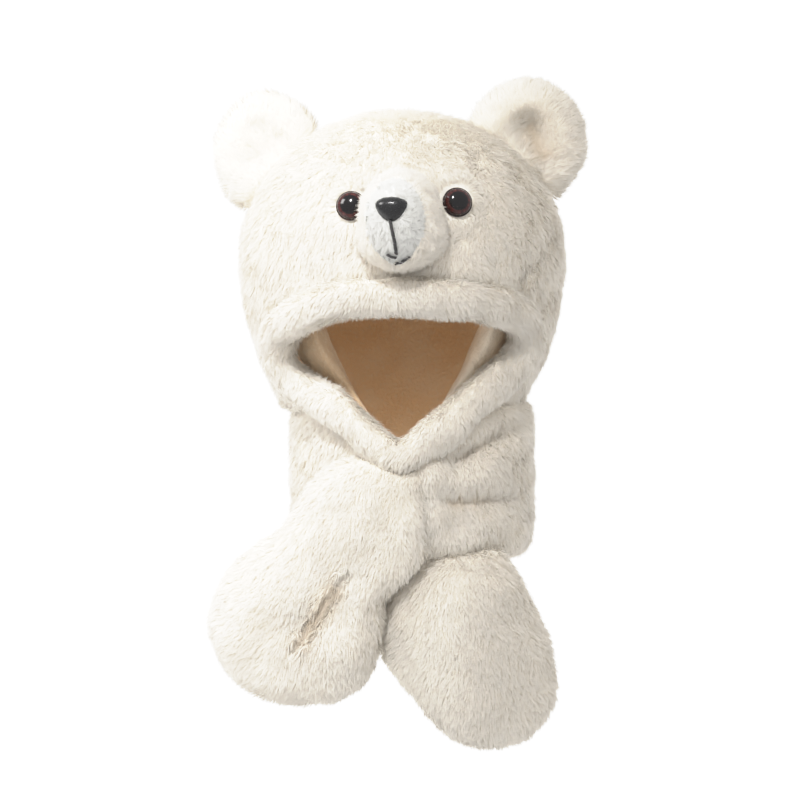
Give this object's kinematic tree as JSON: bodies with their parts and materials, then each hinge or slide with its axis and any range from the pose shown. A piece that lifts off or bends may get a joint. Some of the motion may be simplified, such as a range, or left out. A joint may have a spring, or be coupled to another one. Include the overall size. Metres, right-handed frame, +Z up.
{
  "type": "animal hood scarf",
  "caption": "Plush bear hood with round ears, a stuffed muzzle and a padded band round the face, joined to a scarf that wraps the neck and crosses in front in padded tails.",
  "frame": {"origin": "inside of the crown's lining, at its top, where the head bears on the hood", "axes": "+Z up out of the crown, -Y the way the face looks, +X to the viewer's right"},
  "size_m": [0.2351, 0.2553, 0.4126],
  "materials": {
    "long_pile_plush": "cream long-pile plush, 8 to 10 mm fibres brushed downwards",
    "fleece_lining": "tan short fleece, matt",
    "short_pile_plush": "off-white short-pile plush, matt",
    "black_plastic": "moulded black plastic, glossy",
    "eye_plastic": "domed plastic button with a black pupil and a red-brown ring, glossy",
    "mouth_thread": "black embroidery thread"
  },
  "bodies": {
    "root": {"hood_shell": "long_pile_plush", "hood_lining": "fleece_lining", "face_band": "long_pile_plush", "neck_wrap": "long_pile_plush", "scarf_end_left": "long_pile_plush", "scarf_end_right": "long_pile_plush", "ear_left": "long_pile_plush", "ear_right": "long_pile_plush", "muzzle": "long_pile_plush", "muzzle_panel": "short_pile_plush", "nose": "black_plastic", "eye_left": "eye_plastic", "eye_right": "eye_plastic"}
  },
  "joints": []
}
